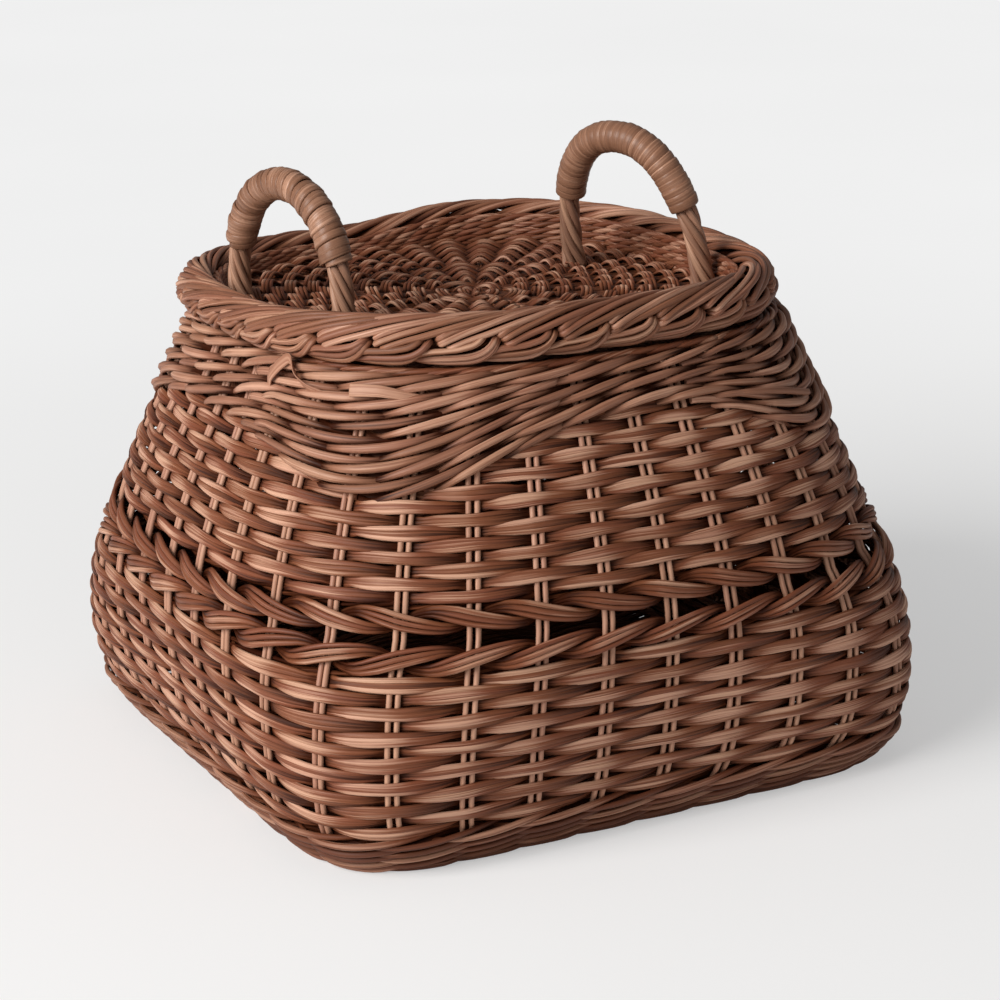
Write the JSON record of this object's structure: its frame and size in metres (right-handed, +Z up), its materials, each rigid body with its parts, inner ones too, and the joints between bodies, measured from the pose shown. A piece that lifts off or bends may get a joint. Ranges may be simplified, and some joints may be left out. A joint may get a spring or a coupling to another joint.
{
  "type": "lidded rattan basket",
  "caption": "Square-shouldered woven rattan basket with a drop-in woven lid that carries wrapped bow handles.",
  "frame": {"origin": "middle of the foot, on the surface that the basket stands on", "axes": "+Z up out of the mouth, -Y the front face, +X and -X the ends where the lid's handles stand"},
  "size_m": [0.4234, 0.4234, 0.3613],
  "materials": {
    "stake_reed": "stained round reed, satin",
    "weave_reed": "stained flat and half-round reed, satin",
    "wale_reed": "stained twisted reed, satin",
    "floor_reed": "stained reed, matt",
    "lid_reed": "stained reed bundles, satin",
    "border_reed": "stained plaited reed, satin",
    "handle_reed": "stained twisted reed, satin",
    "wrap_cane": "stained flat cane, slight gloss"
  },
  "bodies": {
    "basket": {"foot_wale": "wale_reed", "base_weave": "floor_reed", "base_stick_1": "floor_reed", "base_stick_2": "floor_reed", "base_stick_3": "floor_reed", "base_stick_4": "floor_reed", "base_stick_5": "floor_reed", "stake_01": "stake_reed", "stake_02": "stake_reed", "stake_03": "stake_reed", "stake_04": "stake_reed", "stake_05": "stake_reed", "stake_06": "stake_reed", "stake_07": "stake_reed", "stake_08": "stake_reed", "stake_09": "stake_reed", "stake_10": "stake_reed", "stake_11": "stake_reed", "stake_12": "stake_reed", "stake_13": "stake_reed", "stake_14": "stake_reed", "stake_15": "stake_reed", "stake_16": "stake_reed", "stake_17": "stake_reed", "stake_18": "stake_reed", "stake_19": "stake_reed", "stake_20": "stake_reed", "stake_21": "stake_reed", "stake_22": "stake_reed", "stake_23": "stake_reed", "stake_24": "stake_reed", "stake_25": "stake_reed", "stake_26": "stake_reed", "stake_27": "stake_reed", "stake_28": "stake_reed", "stake_29": "stake_reed", "stake_30": "stake_reed", "stake_31": "stake_reed", "stake_32": "stake_reed", "stake_33": "stake_reed", "stake_34": "stake_reed", "stake_35": "stake_reed", "stake_36": "stake_reed", "lower_weave": "weave_reed", "waist_lower_row": "wale_reed", "waist_upper_row": "wale_reed", "upper_weave": "weave_reed", "shoulder_wale": "wale_reed"},
    "lid": {"lid_spokes": "lid_reed", "lid_disc": "lid_reed", "lid_upstand": "lid_reed", "lid_border": "border_reed", "handle_core_right": "handle_reed", "handle_wrap_right": "wrap_cane", "handle_core_left": "handle_reed", "handle_wrap_left": "wrap_cane"}
  },
  "joints": [
    {"name": "lid_lift", "type": "slide", "parent": "basket", "child": "lid", "axis": [0, 0, 1], "range_m": [0, 0.15]}
  ]
}
